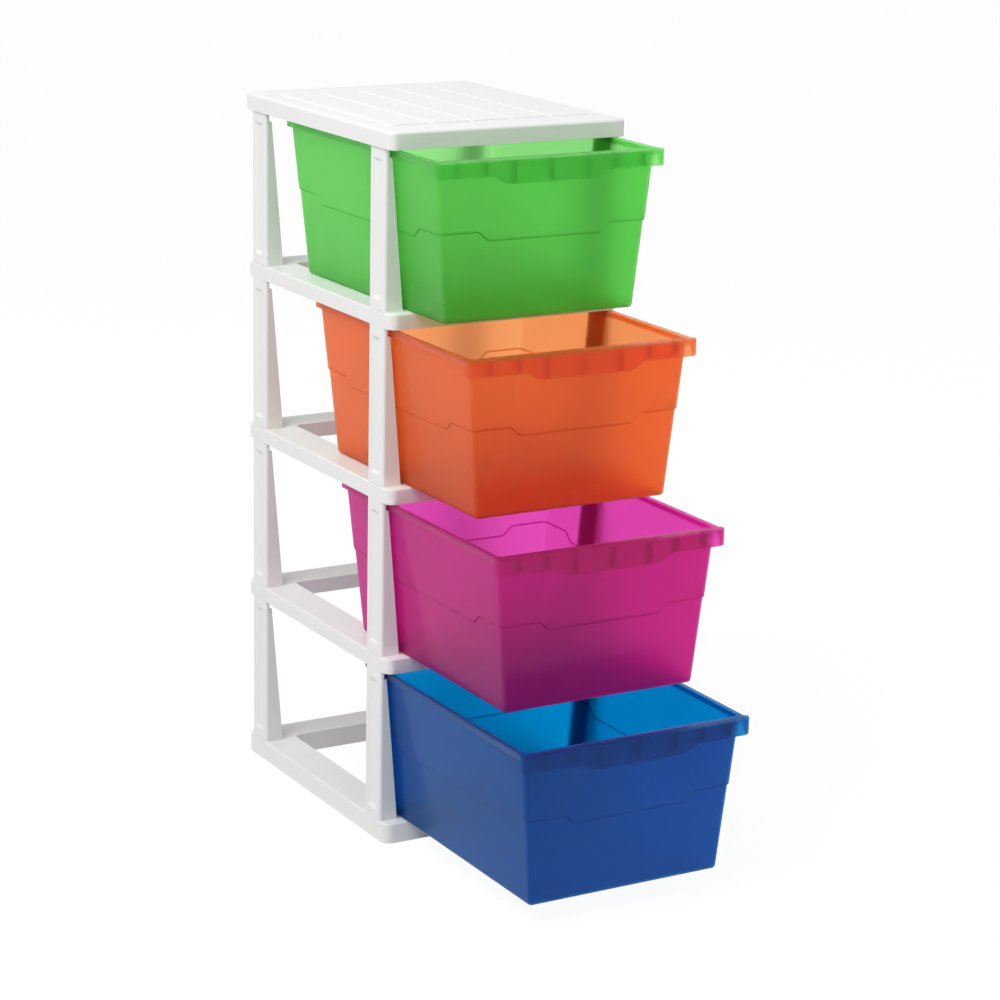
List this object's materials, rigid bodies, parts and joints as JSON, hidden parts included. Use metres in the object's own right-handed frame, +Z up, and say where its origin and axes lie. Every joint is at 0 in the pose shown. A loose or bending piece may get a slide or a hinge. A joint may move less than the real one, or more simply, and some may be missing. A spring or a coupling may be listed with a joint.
{
  "type": "plastic drawer tower",
  "caption": "Upright storage tower: white stacked frames joined by clip-in posts, with coloured translucent drawers that slide out to the front.",
  "frame": {"origin": "middle of the base frame's footprint, on the floor", "axes": "+Z up, -Y towards the front where the drawers open, +X to the right seen from the front"},
  "size_m": [0.302, 0.679, 0.8275],
  "materials": {
    "white_polypropylene": "satin moulded polypropylene, opaque white",
    "blue_translucent_polypropylene": "smooth moulded polypropylene, translucent blue",
    "magenta_translucent_polypropylene": "smooth moulded polypropylene, translucent magenta",
    "orange_translucent_polypropylene": "smooth moulded polypropylene, translucent orange",
    "green_translucent_polypropylene": "smooth moulded polypropylene, translucent green"
  },
  "bodies": {
    "frame": {"base_frame": "white_polypropylene", "shelf_frame_1": "white_polypropylene", "shelf_frame_2": "white_polypropylene", "shelf_frame_3": "white_polypropylene", "top_panel": "white_polypropylene", "post_1_front_left": "white_polypropylene", "post_1_front_right": "white_polypropylene", "post_1_rear_left": "white_polypropylene", "post_1_rear_right": "white_polypropylene", "post_2_front_left": "white_polypropylene", "post_2_front_right": "white_polypropylene", "post_2_rear_left": "white_polypropylene", "post_2_rear_right": "white_polypropylene", "post_3_front_left": "white_polypropylene", "post_3_front_right": "white_polypropylene", "post_3_rear_left": "white_polypropylene", "post_3_rear_right": "white_polypropylene", "post_4_front_left": "white_polypropylene", "post_4_front_right": "white_polypropylene", "post_4_rear_left": "white_polypropylene", "post_4_rear_right": "white_polypropylene"},
    "blue_drawer": {"blue_drawer": "blue_translucent_polypropylene"},
    "magenta_drawer": {"magenta_drawer": "magenta_translucent_polypropylene"},
    "orange_drawer": {"orange_drawer": "orange_translucent_polypropylene"},
    "green_drawer": {"green_drawer": "green_translucent_polypropylene"}
  },
  "joints": [
    {"name": "blue_drawer_slide", "type": "slide", "parent": "frame", "child": "blue_drawer", "axis": [0, -1, 0], "range_m": [-0.307, 0.003]},
    {"name": "magenta_drawer_slide", "type": "slide", "parent": "frame", "child": "magenta_drawer", "axis": [0, -1, 0], "range_m": [-0.244, 0.066]},
    {"name": "orange_drawer_slide", "type": "slide", "parent": "frame", "child": "orange_drawer", "axis": [0, -1, 0], "range_m": [-0.175, 0.135]},
    {"name": "green_drawer_slide", "type": "slide", "parent": "frame", "child": "green_drawer", "axis": [0, -1, 0], "range_m": [-0.097, 0.213]}
  ]
}
